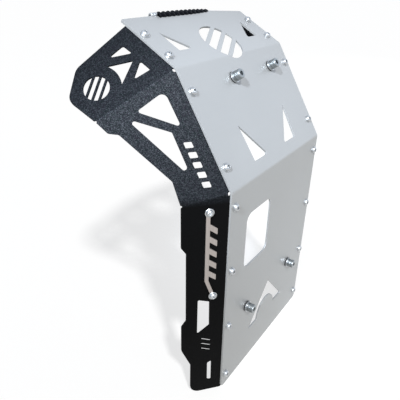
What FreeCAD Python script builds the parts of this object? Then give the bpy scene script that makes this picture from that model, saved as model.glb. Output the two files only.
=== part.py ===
# Skid plate for the front of a motorbike engine: a bright sheet folded twice, with a black
# folded side plate screwed behind each long edge.
#
# Frame: X to the right side plate, Y to the back, Z up along the lower facet. The origin is
# midway between the two lower bolts, where their nuts end. Everything is drawn from the
# middle of the front plate's bottom edge, on its front face, and moved to that origin last.
# Millimetres throughout.
import FreeCAD, Part
import math
import os
import Sketcher
from FreeCAD import Matrix, Placement, Rotation, Vector

doc = FreeCAD.newDocument("skid_plate")
sheet = doc.addObject("Spreadsheet::Sheet", "Sizes")

SIZES = {
    # Front plate: three flat facets, told by their length up the front face and their lean
    "plate_width": 260,
    "plate_thickness": 2.5,
    "lower_length": 325,
    "middle_length": 154.8,
    "upper_length": 93.3,
    "middle_lean": 31.5,
    "upper_lean": 61,
    "plate_bend_radius": 5,
    "crown_flat": 100,
    "crown_left_drop": 1,
    "crown_right_drop": 9,
    "top_corner_radius": 3,
    "foot_corner_radius": 7,
    # Tapered gaps in the upper and middle facets, one each side of the middle line
    "upper_gap_outer": 94.5,
    "upper_gap_inner": 67.5,
    "upper_gap_foot": 25.3,
    "upper_gap_tip": 60.7,
    "middle_gap_outer": 59.9,
    "middle_gap_inner": 25.2,
    "middle_gap_lean": 3.7,
    "middle_gap_foot": 18,
    "middle_gap_tip": 68.1,
    "gap_corner_radius": 2.5,
    # Window and arched gap in the lower facet
    "window_left": -87.5,
    "window_right": -20.8,
    "window_foot": 191.5,
    "window_top": 277,
    "window_corner_radius": 12,
    "arch_foot": 57.5,
    "arch_top": 120,
    "arch_half_width": 56.5,
    "arch_tongue_radius": 28,
    "arch_corner_radius": 1.5,
    # Round slatted vent in the upper facet and the small one in each side plate
    "vent_height": 27.5,
    "vent_radius": 32.9,
    "vent_slat_width": 6,
    "vent_slat_pitch": 17,
    "vent_slat_lean": 30,
    "ear_vent_out": 76.1,
    "ear_vent_up": 47.3,
    "ear_vent_radius": 15.1,
    "ear_slat_width": 2.6,
    "ear_slat_pitch": 7.6,
    # Screws along the two long edges
    "edge_inset": 10,
    "edge_lower_first": 20.6,
    "edge_lower_last": 21.8,
    "edge_lower_count": 4,
    "edge_middle_first": 30.1,
    "edge_middle_last": 30.3,
    "edge_middle_count": 2,
    "edge_upper_first": 20,
    "edge_upper_last": 32.5,
    "edge_upper_count": 2,
    # Mounting bolts
    "lower_bolt_spread": 69,
    "lower_bolt_height": 115,
    "upper_bolt_left": -29,
    "upper_bolt_right": 71,
    "upper_bolt_height": 126,
    # Side plates
    "side_thickness": 2,
    "side_flare": 40,
    "side_bend_radius": 1.5,
    "side_fold_radius": 2,
    "side_relief_radius": 2.4,
    "flange_width": 22,
    "flange_corner_radius": 4,
    "flange_fold_clearance": 0.4,
    "side_end_gap": 11,
    "side_corner_radius": 2.5,
    "side_width": 58.7,
    "side_waist": 52.4,
    "side_foot_width": 45.6,
    "side_foot_radius": 14,
    "hip_foot": 57.2,
    "hip_top": 88,
    "hip_radius": 9,
    "waist_foot": 140.8,
    "waist_top": 247.9,
    "waist_ramp": 9.3,
    "side_neck_out": 55.2,
    "side_neck_up": 41,
    "side_neck_radius": 5,
    "side_arm_out": 87.1,
    "side_arm_up": 112.9,
    "side_wrist_out": 97.3,
    "side_wrist_up": 118.9,
    "side_notch_radius": 1.6,
    # Gaps of the side plates: how far out from the bend and how far up each corner lies
    "side_gap_radius": 1.6,
    "side_gap_wide_radius": 2.5,
    "long_slot_crown_out": 36.6,
    "long_slot_crown_up": 173.3,
    "long_slot_brow_out": 20.8,
    "long_slot_brow_up": 168,
    "long_slot_heel_out": 20,
    "long_slot_heel_up": 126.5,
    "long_slot_toe_out": 36.8,
    "long_slot_toe_up": 113,
    "foot_slot_brow_out": 15,
    "foot_slot_brow_up": 59,
    "foot_slot_crown_out": 21,
    "foot_slot_crown_up": 55,
    "foot_slot_toe_out": 20.6,
    "foot_slot_toe_up": 21.5,
    "foot_slot_heel_out": 14.6,
    "foot_slot_heel_up": 18.2,
    "high_gap_tip_out": 59,
    "high_gap_tip_up": 128.2,
    "high_gap_crown_out": 20.5,
    "high_gap_crown_up": 136.6,
    "high_gap_crown_radius": 7,
    "high_gap_foot_out": 19.6,
    "high_gap_foot_up": 92.6,
    "low_gap_tip_out": 72.8,
    "low_gap_tip_up": 126.3,
    "low_gap_brow_out": 32.1,
    "low_gap_brow_up": 91.5,
    "low_gap_foot_out": 33.1,
    "low_gap_foot_up": 35.4,
    "low_gap_foot_radius": 3.2,
    "ear_high_gap_tip_out": 42,
    "ear_high_gap_tip_up": 66,
    "ear_high_gap_crown_out": 19.5,
    "ear_high_gap_crown_up": 65.2,
    "ear_high_gap_foot_out": 18.5,
    "ear_high_gap_foot_up": 50,
    "ear_low_gap_crown_out": 19.1,
    "ear_low_gap_crown_up": 36.5,
    "ear_low_gap_foot_out": 18.7,
    "ear_low_gap_foot_up": 20,
    "ear_low_gap_tip_out": 40.5,
    "ear_low_gap_tip_up": 24.6,
    "ear_gap_point_out": 24.5,
    "ear_gap_point_up": 42.6,
    "ear_gap_high_angle": 156,
    "ear_gap_low_angle": 218,
    # Ladders of small slots in the side plates
    "tick_count": 3,
    "tick_out": 24,
    "tick_first_up": 83,
    "tick_pitch": 9,
    "tick_reach": 7,
    "tick_width": 2.8,
    "tick_rake": 3,
    "louvre_count": 5,
    "louvre_out": 20.8,
    "louvre_first_up": 21.5,
    "louvre_pitch": 12.4,
    "louvre_reach": 4.7,
    "louvre_width": 7.2,
    "louvre_rake": 1.6,
    "ladder_corner_radius": 1.2,
    "ear_fold_out": 104.2,
    "ear_out": 108.2,
    "ear_out_up": 58.9,
    "ear_corner_radius": 14,
    "ear_top_out": 76.4,
    "ear_top_radius": 18,
    "ear_vent_land": 13.5,
    # Bright bar on the left side plate
    "badge_thickness": 2,
    "badge_top_out": 24.9,
    "badge_top_up": 303.3,
    "badge_foot_out": 17.2,
    "badge_foot_up": 179,
    "badge_spine_out": 26.2,
    "badge_spine_foot": 204,
    "badge_spine_width": 5.2,
    "badge_eye_diameter": 10,
    "badge_blade_reach": 9.5,
    "badge_blade_width": 8.5,
    "badge_blade_rake": 9,
    "badge_blade_radius": 0.6,
    "badge_blade_foot": 213,
    "badge_blade_pitch": 17,
    "badge_blade_count": 5,
    # M8 socket cap bolt and what is stacked under its head
    "bolt_diameter": 8,
    "bolt_length": 30,
    "bolt_head_diameter": 13,
    "bolt_head_height": 8,
    "bolt_socket_flats": 6,
    "bolt_socket_depth": 4.5,
    "bolt_hole_clearance": 1,
    "bolt_chamfer": 0.8,
    "bolt_spring_diameter": 13.6,
    "bolt_spring_thickness": 2,
    "bolt_spring_gap": 1.2,
    "bolt_washer_diameter": 16.5,
    "bolt_washer_thickness": 1.6,
    "bolt_rubber_diameter": 15.5,
    "bolt_rubber_thickness": 2,
    "bolt_nut_flats": 13,
    "bolt_nut_height": 4,
    # M6 flanged button screw of the edges
    "screw_diameter": 6,
    "screw_length": 11.5,
    "screw_flange_diameter": 12,
    "screw_flange_thickness": 1,
    "screw_head_diameter": 10,
    "screw_head_height": 4.3,
    "screw_socket_flats": 4,
    "screw_socket_depth": 2.2,
    "screw_hole_clearance": 0.6,
    "screw_nut_flats": 10,
    "screw_nut_height": 5,
    # M5 flanged button screw of the bar
    "pin_diameter": 5,
    "pin_length": 10,
    "pin_flange_diameter": 11.5,
    "pin_flange_thickness": 1,
    "pin_head_diameter": 8.8,
    "pin_head_height": 3.8,
    "pin_socket_flats": 3,
    "pin_socket_depth": 1.8,
    "pin_hole_clearance": 0.5,
    "pin_nut_flats": 8,
    "pin_nut_height": 4,
    # Play between a shank and what is threaded or slid on it
    "bore_play": 0.2,
    # Black twisted guard gripping the top edge, and the bright screw in its left end
    "guard_length": 110,
    "guard_shift": -7,
    "guard_radius": 4.1,
    "guard_core_radius": 3.2,
    "guard_tip_length": 26,
    "guard_tip_share": 0.62,
    "guard_twist_pitch": 34,
    "guard_lift": 1.6,
    "guard_slit_play": 0.2,
    "guard_screw_diameter": 3,
    "guard_screw_length": 20,
    "guard_screw_play": 0.1,
    "guard_screw_head_diameter": 7.2,
    "guard_screw_head_height": 13,
    "guard_screw_chamfer": 0.8,
    "guard_screw_groove_depth": 0.6,
    "guard_screw_groove_width": 1.6,
    "guard_screw_recess_diameter": 3.6,
    "guard_screw_recess_depth": 2,
}

for row, (name, number) in enumerate(SIZES.items(), 1):
    sheet.set(f"A{row}", name.replace("_", " "))
    sheet.set(f"B{row}", str(number))
    sheet.setAlias(f"B{row}", name)
doc.recompute()

X_AXIS = Vector(1, 0, 0)
Z_AXIS = Vector(0, 0, 1)
ORIGIN = Vector(0, 0, 0)
LEFT = -1
RIGHT = 1
LOWER, MIDDLE, UPPER = range(3)
TINY = 0.001
# How far a leaf of the side plate is drawn past a fold before it is trimmed there
TRIM = 10
GUARD_STRANDS = 3
GUARD_STEPS_PER_TURN = 12


def size(name):
    """A size from the sheet, as a number."""
    return float(sheet.get(name))


# Formulas and sketches

def formula(text):
    """The text with each size's name led by its sheet, as an expression wants it."""
    for name in sorted(SIZES, key=len, reverse=True):
        text = text.replace(f"<{name}>", f"Sizes.{name}")
    return text


def value(text):
    """What a formula comes to."""
    result = sheet.evalExpression(formula(text))
    return float(getattr(result, "Value", result))


def bind(thing, prop, text):
    """Tie a property to a formula on the sheet's sizes."""
    thing.setExpression(prop, formula(text))


def origin_plane(body, role):
    """One of the body's own planes."""
    return next(plane for plane in body.Origin.OriginFeatures if plane.Role == role)


def new_body(name):
    """A body for a piece."""
    body = doc.addObject("PartDesign::Body", name)
    body.Label = name
    return body


def new_sketch(body, name, role):
    """A sketch on one of the body's planes."""
    sketch = body.newObject("Sketcher::SketchObject", name)
    sketch.AttachmentSupport = (origin_plane(body, role), "")
    sketch.MapMode = "FlatFace"
    return sketch


def measure(sketch, kind, *parts, text):
    """A dimension of the sketch, tied to a formula."""
    number = sketch.addConstraint(Sketcher.Constraint(kind, *parts, value(text)))
    bind(sketch, f"Constraints[{number}]", text)


def place_point(sketch, piece, end, across, along):
    """Hold a point of a sketched piece at two formulas."""
    for kind, axis, text in (("DistanceX", -2, across), ("DistanceY", -1, along)):
        if text == "0":
            sketch.addConstraint(Sketcher.Constraint("PointOnObject", piece, end, axis))
        else:
            measure(sketch, kind, -1, 1, piece, end, text=text)


def point(across, along):
    """A point from two formulas."""
    return Vector(value(across), value(along), 0)


def add_outline(sketch, corners):
    """A closed outline of straight lines through corners given as pairs of formulas."""
    spots = [point(*corner) for corner in corners]
    lines = [sketch.addGeometry(Part.LineSegment(start, end), False)
             for start, end in zip(spots, spots[1:] + spots[:1])]
    for line, following in zip(lines, lines[1:] + lines[:1]):
        sketch.addConstraint(Sketcher.Constraint("Coincident", line, 2, following, 1))
    for line, corner in zip(lines, corners):
        place_point(sketch, line, 1, *corner)


def add_circle(sketch, across, along, diameter):
    """A circle with its centre and diameter from formulas."""
    circle = Part.Circle(point(across, along), Z_AXIS, value(diameter) / 2)
    piece = sketch.addGeometry(circle, False)
    place_point(sketch, piece, 3, across, along)
    measure(sketch, "Diameter", piece, text=diameter)


def pad(body, name, sketch, length, side="One side", backwards=False):
    """Add the sketch's outline, drawn out to a length."""
    feature = body.newObject("PartDesign::Pad", name)
    feature.Profile = sketch
    feature.SideType = side
    feature.Reversed = backwards
    bind(feature, "Length", length)
    doc.recompute()
    return feature


def pocket(body, name, sketch, depth=None):
    """Cut the sketch's outline into the body, right through unless a depth is given."""
    before = body.Shape.Volume
    feature = body.newObject("PartDesign::Pocket", name)
    feature.Profile = sketch
    if depth is None:
        feature.Type = "ThroughAll"
    else:
        bind(feature, "Length", depth)
    doc.recompute()
    if not feature.Shape.Volume < before - TINY:
        raise ValueError(f"{name} cuts nothing")
    return feature


def revolve(body, name, sketch):
    """Turn the sketch's outline round its own upright axis."""
    feature = body.newObject("PartDesign::Revolution", name)
    feature.Profile = sketch
    feature.ReferenceAxis = (sketch, ["V_Axis"])
    doc.recompute()
    return feature


def round_edges(body, name, wanted, radius):
    """Round the edges of the body for which the test holds."""
    base = body.Tip
    names = [f"Edge{i}" for i, edge in enumerate(base.Shape.Edges, 1) if wanted(edge)]
    if not names:
        raise ValueError(f"{name} finds no edge")
    feature = body.newObject("PartDesign::Fillet", name)
    feature.Base = (base, names)
    bind(feature, "Radius", radius)
    doc.recompute()
    return feature


# Facets of the front plate

LEANS = {LOWER: "0", MIDDLE: "<middle_lean>", UPPER: "<upper_lean>"}
LENGTHS = {LOWER: "<lower_length>", MIDDLE: "<middle_length>", UPPER: "<upper_length>"}
# How far back and up the foot of each facet lies
FEET = {
    LOWER: ("0", "0"),
    MIDDLE: ("0", "<lower_length>"),
    UPPER: ("<middle_length> * sin(<middle_lean>)",
            "<lower_length> + <middle_length> * cos(<middle_lean>)"),
}


def facet_normal(facet):
    """Out of the facet's front face."""
    lean = math.radians(value(LEANS[facet]))
    return Vector(0, -math.cos(lean), math.sin(lean))


def facet_up(facet):
    """Up along the facet."""
    lean = math.radians(value(LEANS[facet]))
    return Vector(0, math.sin(lean), math.cos(lean))


def facet_foot(facet, depth=0.0):
    """The foot of the facet in the middle plane, that far behind the front face."""
    back, up = (value(text) for text in FEET[facet])
    foot = Vector(0, back, up)
    if facet == LOWER:
        return foot - facet_normal(facet) * depth
    here, below = facet_normal(facet), facet_normal(facet - 1)
    return foot - (here + below) * (depth / (1 + here.dot(below)))


def facet_top(facet, depth=0.0):
    """The top of the facet in the middle plane, that far behind the front face."""
    if facet == UPPER:
        top = facet_foot(UPPER) + facet_up(UPPER) * value(LENGTHS[UPPER])
        return top - facet_normal(UPPER) * depth
    return facet_foot(facet + 1, depth)


def facet_sketch(body, name, facet):
    """A sketch on the front face of a facet: X across, Y up from the facet's foot."""
    sketch = new_sketch(body, name, "XZ_Plane")
    if facet != LOWER:
        back, up = FEET[facet]
        sketch.AttachmentOffset = Placement(ORIGIN, Rotation(X_AXIS, -value(LEANS[facet])))
        bind(sketch, "AttachmentOffset.Base.y", up)
        bind(sketch, "AttachmentOffset.Base.z", f"-({back})")
        bind(sketch, "AttachmentOffset.Rotation.Angle", f"-{LEANS[facet]}")
    return sketch


def on_facet(facet, across, up, lift=0.0):
    """The place of a piece on a facet, with its own Z out of the front face."""
    normal = facet_normal(facet)
    foot = facet_foot(facet)
    spot = foot + X_AXIS * across + facet_up(facet) * up + normal * lift
    return Placement(spot, Rotation(X_AXIS, facet_up(facet), normal, "ZXY"))


def corner_of(facet, least_up, most_up, least_out=0.0):
    """A test for the short edges through the sheet in a band of a facet."""
    normal, up, foot = facet_normal(facet), facet_up(facet), facet_foot(facet)

    def wanted(edge):
        if not isinstance(edge.Curve, Part.Line):
            return False
        start, end = (vertex.Point for vertex in edge.Vertexes)
        if (end - start).cross(normal).Length > TINY or edge.Length < TINY:
            return False
        middle = (start + end) * 0.5
        height = (middle - foot).dot(up)
        return least_up < height < most_up and abs(middle.x) > least_out

    return wanted


def on_line(start, direction):
    """A test for the straight edges that lie along a line."""
    def wanted(edge):
        if not isinstance(edge.Curve, Part.Line):
            return False
        ends = [vertex.Point - start for vertex in edge.Vertexes]
        return all(end.cross(direction).Length < TINY * 10 for end in ends)

    return wanted


# Front plate

def front_plate():
    """The bright sheet, folded twice, with its gaps and holes."""
    body = new_body("front_plate")
    profile = new_sketch(body, "side_profile", "YZ_Plane")
    front, back = [], []
    for facet in (LOWER, MIDDLE, UPPER):
        front.append(FEET[facet])
    tip = tuple(f"{foot} + <upper_length> * {turn}(<upper_lean>)"
                for foot, turn in zip(FEET[UPPER], ("sin", "cos")))
    front.append(tip)
    depth = "<plate_thickness>"
    half_lower = "<middle_lean> / 2"
    half_upper = "(<upper_lean> + <middle_lean>) / 2"
    ease_lower = "cos(<middle_lean> / 2)"
    ease_upper = "cos((<upper_lean> - <middle_lean>) / 2)"
    back.append((depth, "0"))
    back.append((f"{depth} * cos({half_lower}) / {ease_lower}",
                 f"<lower_length> - {depth} * sin({half_lower}) / {ease_lower}"))
    back.append((f"{FEET[UPPER][0]} + {depth} * cos({half_upper}) / {ease_upper}",
                 f"{FEET[UPPER][1]} - {depth} * sin({half_upper}) / {ease_upper}"))
    back.append((f"{tip[0]} + {depth} * cos(<upper_lean>)", f"{tip[1]} - {depth} * sin(<upper_lean>)"))
    add_outline(profile, front + back[::-1])
    pad(body, "folded_sheet", profile, "<plate_width>", side="Symmetric")
    for facet in (MIDDLE, UPPER):
        outside = on_line(facet_foot(facet), X_AXIS)
        inside = on_line(facet_foot(facet, size("plate_thickness")), X_AXIS)
        round_edges(body, f"bend_outside_{facet}", outside, "<plate_bend_radius> + <plate_thickness>")
        round_edges(body, f"bend_inside_{facet}", inside, "<plate_bend_radius>")

    crown = facet_sketch(body, "crown_outline", UPPER)
    for side, drop in (("-", "<crown_left_drop>"), ("", "<crown_right_drop>")):
        edge = f"{side}<plate_width> / 2"
        outside = f"{side}<plate_width>"
        flat = f"{side}<crown_flat> / 2"
        corners = [
            (flat, "<upper_length>"),
            (edge, f"<upper_length> - {drop}"),
            (outside, f"<upper_length> - {drop}"),
            (outside, f"<upper_length> + {drop}"),
            (flat, f"<upper_length> + {drop}"),
        ]
        add_outline(crown, corners)
    pocket(body, "crown", crown)
    half_width = size("plate_width") / 2
    foot_corners = corner_of(LOWER, -1, 1, half_width - 1)
    top_corners = corner_of(UPPER, size("upper_length") / 2, size("upper_length"), half_width - 1)
    round_edges(body, "foot_corners", foot_corners, "<foot_corner_radius>")
    round_edges(body, "top_corners", top_corners, "<top_corner_radius>")

    gaps = facet_sketch(body, "upper_gap_outline", UPPER)
    for side in ("-", ""):
        corners = [
            (f"{side}<upper_gap_outer>", "<upper_gap_foot>"),
            (f"{side}<upper_gap_outer>", "<upper_gap_tip>"),
            (f"{side}<upper_gap_inner>", "<upper_gap_foot>"),
        ]
        add_outline(gaps, corners)
    pocket(body, "upper_gaps", gaps)
    band = corner_of(UPPER, size("upper_gap_foot") - 1, size("upper_gap_foot") + 1,
                     size("upper_gap_inner") - 1)
    round_edges(body, "upper_gap_corners", band, "<gap_corner_radius>")

    gaps = facet_sketch(body, "middle_gap_outline", MIDDLE)
    for side in ("-", ""):
        corners = [
            (f"{side}<middle_gap_outer>", "<middle_gap_foot>"),
            (f"{side}(<middle_gap_outer> + <middle_gap_lean>)", "<middle_gap_tip>"),
            (f"{side}<middle_gap_inner>", "<middle_gap_foot>"),
        ]
        add_outline(gaps, corners)
    pocket(body, "middle_gaps", gaps)
    band = corner_of(MIDDLE, size("middle_gap_foot") - 1, size("middle_gap_foot") + 1,
                     size("middle_gap_inner") - 1)
    round_edges(body, "middle_gap_corners", band, "<gap_corner_radius>")

    window = facet_sketch(body, "window_outline", LOWER)
    add_outline(window, [
        ("<window_left>", "<window_foot>"),
        ("<window_right>", "<window_foot>"),
        ("<window_right>", "<window_top>"),
        ("<window_left>", "<window_top>"),
    ])
    pocket(body, "window", window)
    band = corner_of(LOWER, size("window_foot") - 1, size("window_top") + 1)
    round_edges(body, "window_corners", band, "<window_corner_radius>")

    arch_gap(body)
    vent(body)
    plate_holes(body)
    return body


def arch_gap(body):
    """The pointed gap of the lower facet, round a half-disc tongue that stays."""
    sketch = facet_sketch(body, "arch_outline", LOWER)
    foot, top = "<arch_foot>", "<arch_top>"
    peak = point("0", top)
    right, left = point("<arch_half_width>", foot), point("-<arch_half_width>", foot)
    tongue = value("<arch_tongue_radius>")
    centre = point("0", foot)
    near_right, near_left = centre + X_AXIS * tongue, centre - X_AXIS * tongue
    runs = [(peak, right), (right, near_right), (near_left, left), (left, peak)]
    slope_right, base_right, base_left, slope_left = (
        sketch.addGeometry(Part.LineSegment(*run), False) for run in runs)
    circle = Part.Circle(centre, Z_AXIS, tongue)
    arc = sketch.addGeometry(Part.ArcOfCircle(circle, 0, math.pi), False)
    joins = [(slope_right, 2, base_right, 1), (base_right, 2, arc, 1), (arc, 2, base_left, 1),
             (base_left, 2, slope_left, 1), (slope_left, 2, slope_right, 1)]
    for join in joins:
        sketch.addConstraint(Sketcher.Constraint("Coincident", *join))
    place_point(sketch, slope_right, 1, "0", top)
    place_point(sketch, slope_right, 2, "<arch_half_width>", foot)
    place_point(sketch, slope_left, 1, "-<arch_half_width>", foot)
    place_point(sketch, arc, 3, "0", foot)
    sketch.addConstraint(Sketcher.Constraint("Horizontal", base_right))
    sketch.addConstraint(Sketcher.Constraint("Horizontal", base_left))
    measure(sketch, "Radius", arc, text="<arch_tongue_radius>")
    pocket(body, "arch", sketch)
    band = corner_of(LOWER, size("arch_foot") - 1, size("arch_top") + 1)
    round_edges(body, "arch_corners", band, "<arch_corner_radius>")


def vent(body):
    """The round vent: three leaning slats stay between four openings."""
    sketch = facet_sketch(body, "vent_outline", UPPER)
    centre = point("0", "<vent_height>")
    circle = Part.Circle(centre, Z_AXIS, value("<vent_radius>"))
    near = "<vent_slat_width> / 2"
    far = "<vent_slat_pitch> - <vent_slat_width> / 2"
    beyond = "<vent_slat_pitch> + <vent_slat_width> / 2"

    def chord_end(side, offset, end):
        across = f"{end} * sqrt(<vent_radius> ^ 2 - ({offset}) ^ 2)"
        upward = f"{side} * ({offset})"
        return (f"{across} * cos(<vent_slat_lean>) - {upward} * sin(<vent_slat_lean>)",
                f"<vent_height> + {across} * sin(<vent_slat_lean>) + {upward} * cos(<vent_slat_lean>)")

    def opening(*corners):
        formulas = [chord_end(*corner) for corner in corners]
        spots = [point(*pair) for pair in formulas]
        runs = []
        for i, (start, end) in enumerate(zip(spots, spots[1:] + spots[:1])):
            if i % 2:
                runs.append(sketch.addGeometry(Part.LineSegment(start, end), False))
                continue
            first, last = (math.atan2(spot.y - centre.y, spot.x - centre.x) for spot in (start, end))
            runs.append(sketch.addGeometry(Part.ArcOfCircle(circle, first, last), False))
            measure(sketch, "Radius", runs[-1], text="<vent_radius>")
        for run, following, pair in zip(runs, runs[1:] + runs[:1], formulas):
            sketch.addConstraint(Sketcher.Constraint("Coincident", run, 2, following, 1))
            place_point(sketch, run, 1, *pair)

    opening((1, beyond, 1), (1, beyond, -1))
    opening((1, near, 1), (1, far, 1), (1, far, -1), (1, near, -1))
    opening((-1, far, 1), (-1, near, 1), (-1, near, -1), (-1, far, -1))
    opening((-1, beyond, -1), (-1, beyond, 1))
    pocket(body, "vent", sketch)


# Where the fasteners sit: the facet, how far across from the middle and how far up

def edge_spots(side):
    """The screw places along one long edge, as formulas."""
    across = f"{'-' if side == LEFT else ''}(<plate_width> / 2 - <edge_inset>)"
    spots = []
    for facet, word in enumerate(("lower", "middle", "upper")):
        first, last = f"<edge_{word}_first>", f"<edge_{word}_last>"
        pitch = f"(<{word}_length> - {first} - {last}) / max(<edge_{word}_count> - 1; 1)"
        for step in range(int(size(f"edge_{word}_count"))):
            spots.append((facet, across, f"{first} + {step} * {pitch}"))
    return spots


def lower_bolt_spots():
    """The two mounting bolts of the lower facet, as formulas."""
    return [(LOWER, f"{side}<lower_bolt_spread>", "<lower_bolt_height>") for side in ("-", "")]


def upper_bolt_spots():
    """The two mounting bolts of the middle facet, as formulas."""
    return [(MIDDLE, side, "<upper_bolt_height>") for side in ("<upper_bolt_left>", "<upper_bolt_right>")]


def plate_holes(body):
    """Round holes for the bolts and the edge screws."""
    groups = (
        ("bolt", lower_bolt_spots() + upper_bolt_spots(), "<bolt_diameter> + <bolt_hole_clearance>"),
        ("screw", edge_spots(LEFT) + edge_spots(RIGHT), "<screw_diameter> + <screw_hole_clearance>"),
    )
    for name, spots, diameter in groups:
        for facet in (LOWER, MIDDLE, UPPER):
            chosen = [spot for spot in spots if spot[0] == facet]
            if not chosen:
                continue
            sketch = facet_sketch(body, f"{name}_hole_outline_{facet}", facet)
            for _, across, up in chosen:
                add_circle(sketch, across, up, diameter)
            pocket(body, f"{name}_holes_{facet}", sketch)


# Left side plate, each facet in its own U (away from the front plate) and E (up the facet)

def side_frame(facet):
    """A side facet's corner on the bend line, then its U, E and outward directions."""
    flare = math.radians(size("side_flare"))
    normal = facet_normal(facet)
    corner = facet_foot(facet, size("plate_thickness")) - X_AXIS * (size("plate_width") / 2)
    along = X_AXIS * -math.cos(flare) - normal * math.sin(flare)
    outward = X_AXIS * -math.sin(flare) + normal * math.cos(flare)
    return corner, along, facet_up(facet), outward


def outward_of(facet):
    """Out of the side facet's outer face."""
    return side_frame(facet)[3]


def fold_line(facet):
    """The direction of the fold at the foot of a side facet, away from the front plate."""
    direction = outward_of(facet - 1).cross(outward_of(facet)).normalize()
    return direction * -math.copysign(1, direction.x)


def fold_end(facet, frame_facet, out):
    """Where the fold at the foot of a facet reaches that far out, in a facet's U and E."""
    direction = fold_line(facet)
    corner, along = side_frame(facet)[:2]
    spot = corner + direction * (out / direction.dot(along))
    corner, along, up, _ = side_frame(frame_facet)
    return (spot - corner).dot(along), (spot - corner).dot(up)


def in_side_facet(facet, shape):
    """A shape drawn in U and E, with Z into the sheet, set on a side facet's outer face."""
    corner, along, up, outward = side_frame(facet)
    inward = outward * -1
    matrix = Matrix(along.x, up.x, inward.x, corner.x,
                    along.y, up.y, inward.y, corner.y,
                    along.z, up.z, inward.z, corner.z,
                    0, 0, 0, 1)
    placed = shape.copy()
    placed.Placement = Placement(matrix)
    return placed


def on_side(facet, out, up_facet, lift=0.0):
    """The place of a piece on a side facet, with its own Z out of the outer face."""
    corner, along, up, outward = side_frame(facet)
    spot = corner + along * out + up * up_facet + outward * lift
    return Placement(spot, Rotation(up, outward.cross(up), outward, "ZXY"))


def rounded_wire(corners):
    """A closed flat wire through (x, y, radius) corners, each rounded by its radius."""
    spots = [Vector(x, y, 0) for x, y, _ in corners]
    runs = []
    for i, (spot, (_, _, radius)) in enumerate(zip(spots, corners)):
        before = (spots[i - 1] - spot).normalize()
        after = (spots[(i + 1) % len(spots)] - spot).normalize()
        half = before.getAngle(after) / 2
        reach = radius / math.tan(half)
        summit = spot + (before + after).normalize() * (radius / math.sin(half) - radius)
        runs.append((spot + before * reach, summit, spot + after * reach))
    edges = []
    for (start, summit, end), (next_start, _, _) in zip(runs, runs[1:] + runs[:1]):
        if start.distanceToPoint(end) > TINY:
            edges.append(Part.Arc(start, summit, end).toShape())
        if end.distanceToPoint(next_start) > TINY:
            edges.append(Part.LineSegment(end, next_start).toShape())
    return Part.Wire(edges)


def drawn_out(wires, start, end):
    """The faces inside flat wires, drawn out between two heights."""
    solids = []
    for wire in wires:
        face = Part.Face(wire)
        face.translate(Vector(0, 0, start))
        solids.append(face.extrude(Vector(0, 0, end - start)))
    return solids


def joined(shapes):
    """One solid from several that meet, without leftover seams."""
    whole = shapes[0].fuse(shapes[1:]) if len(shapes) > 1 else shapes[0]
    return whole.removeSplitter()


def one_solid(shape):
    """The shape's only solid."""
    if len(shape.Solids) != 1:
        raise ValueError(f"{len(shape.Solids)} solids where one was meant")
    return shape.Solids[0]


def rounded(shape, tests, radius):
    """The shape with the edges that pass any of the tests rounded."""
    edges = [edge for edge in shape.Edges if any(test(edge) for test in tests)]
    if not edges:
        raise ValueError("no edge to round")
    return shape.makeFillet(radius, edges)


def past(before, end):
    """A point on from the end of a run, far enough to be trimmed back at a fold."""
    run = Vector(*end, 0) - Vector(*before, 0)
    spot = Vector(*end, 0) + run.normalize() * TRIM
    return spot.x, spot.y, 0


def side_outline(facet):
    """The corners of a side facet with their radii, run on past its folds and its bend."""
    soft = size("side_corner_radius")
    outer, waist = size("side_width"), size("side_waist")
    foot_inner = (-TRIM, -TRIM, 0)
    if facet == UPPER:
        start = fold_end(UPPER, UPPER, size("ear_fold_out"))
        rise = size("upper_length") - size("side_end_gap")
        ear = (size("ear_out"), size("ear_out_up"))
        return [foot_inner, past(ear, start), (*ear, size("ear_corner_radius")),
                (size("ear_top_out"), rise, size("ear_top_radius")), (-TRIM, rise, 0)]
    rise = (side_frame(facet + 1)[0] - side_frame(facet)[0]).dot(facet_up(facet))
    top_inner = (-TRIM, rise + TRIM, 0)
    if facet == MIDDLE:
        start = fold_end(MIDDLE, MIDDLE, outer)
        end = fold_end(UPPER, MIDDLE, size("ear_fold_out"))
        neck = (size("side_neck_out"), size("side_neck_up"))
        arm = (size("side_arm_out"), size("side_arm_up"))
        wrist = (size("side_wrist_out"), size("side_wrist_up"))
        return [foot_inner, past(neck, start), (*neck, size("side_neck_radius")),
                (*arm, size("side_neck_radius")), (*wrist, size("side_neck_radius")),
                past(wrist, end), top_inner]
    end = fold_end(MIDDLE, LOWER, outer)
    foot, ramp = size("side_foot_width"), size("waist_ramp")
    waist_foot, waist_top = size("waist_foot"), size("waist_top")
    return [(-TRIM, 0, 0), (foot, 0, size("side_foot_radius")),
            (foot, size("hip_foot"), size("hip_radius")), (outer, size("hip_top"), size("hip_radius")),
            (outer, waist_foot - ramp, soft), (waist, waist_foot, soft),
            (waist, waist_top, soft), (outer, waist_top + ramp, soft),
            past((outer, waist_top), end), top_inner]


def flange_outline(facet):
    """The corners of the strip behind the front plate's edge: X outboard from the bend, and E."""
    wide, soft = size("flange_width"), size("flange_corner_radius")
    foot, foot_soft = (0, soft) if facet == LOWER else (-TRIM, 0)
    if facet == UPPER:
        rise, top_soft = size("upper_length") - size("side_end_gap"), soft
    else:
        rise = (side_frame(facet + 1)[0] - side_frame(facet)[0]).dot(facet_up(facet)) + TRIM
        top_soft = 0
    return [(TRIM, foot, 0), (TRIM, rise, 0), (-wide, rise, top_soft), (-wide, foot, foot_soft)]


def gap(name, **corners):
    """The wire of a gap through its named corners, each with the name of its radius."""
    return rounded_wire([(size(f"{name}_{corner}_out"), size(f"{name}_{corner}_up"), size(radius))
                         for corner, radius in corners.items()])


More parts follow.
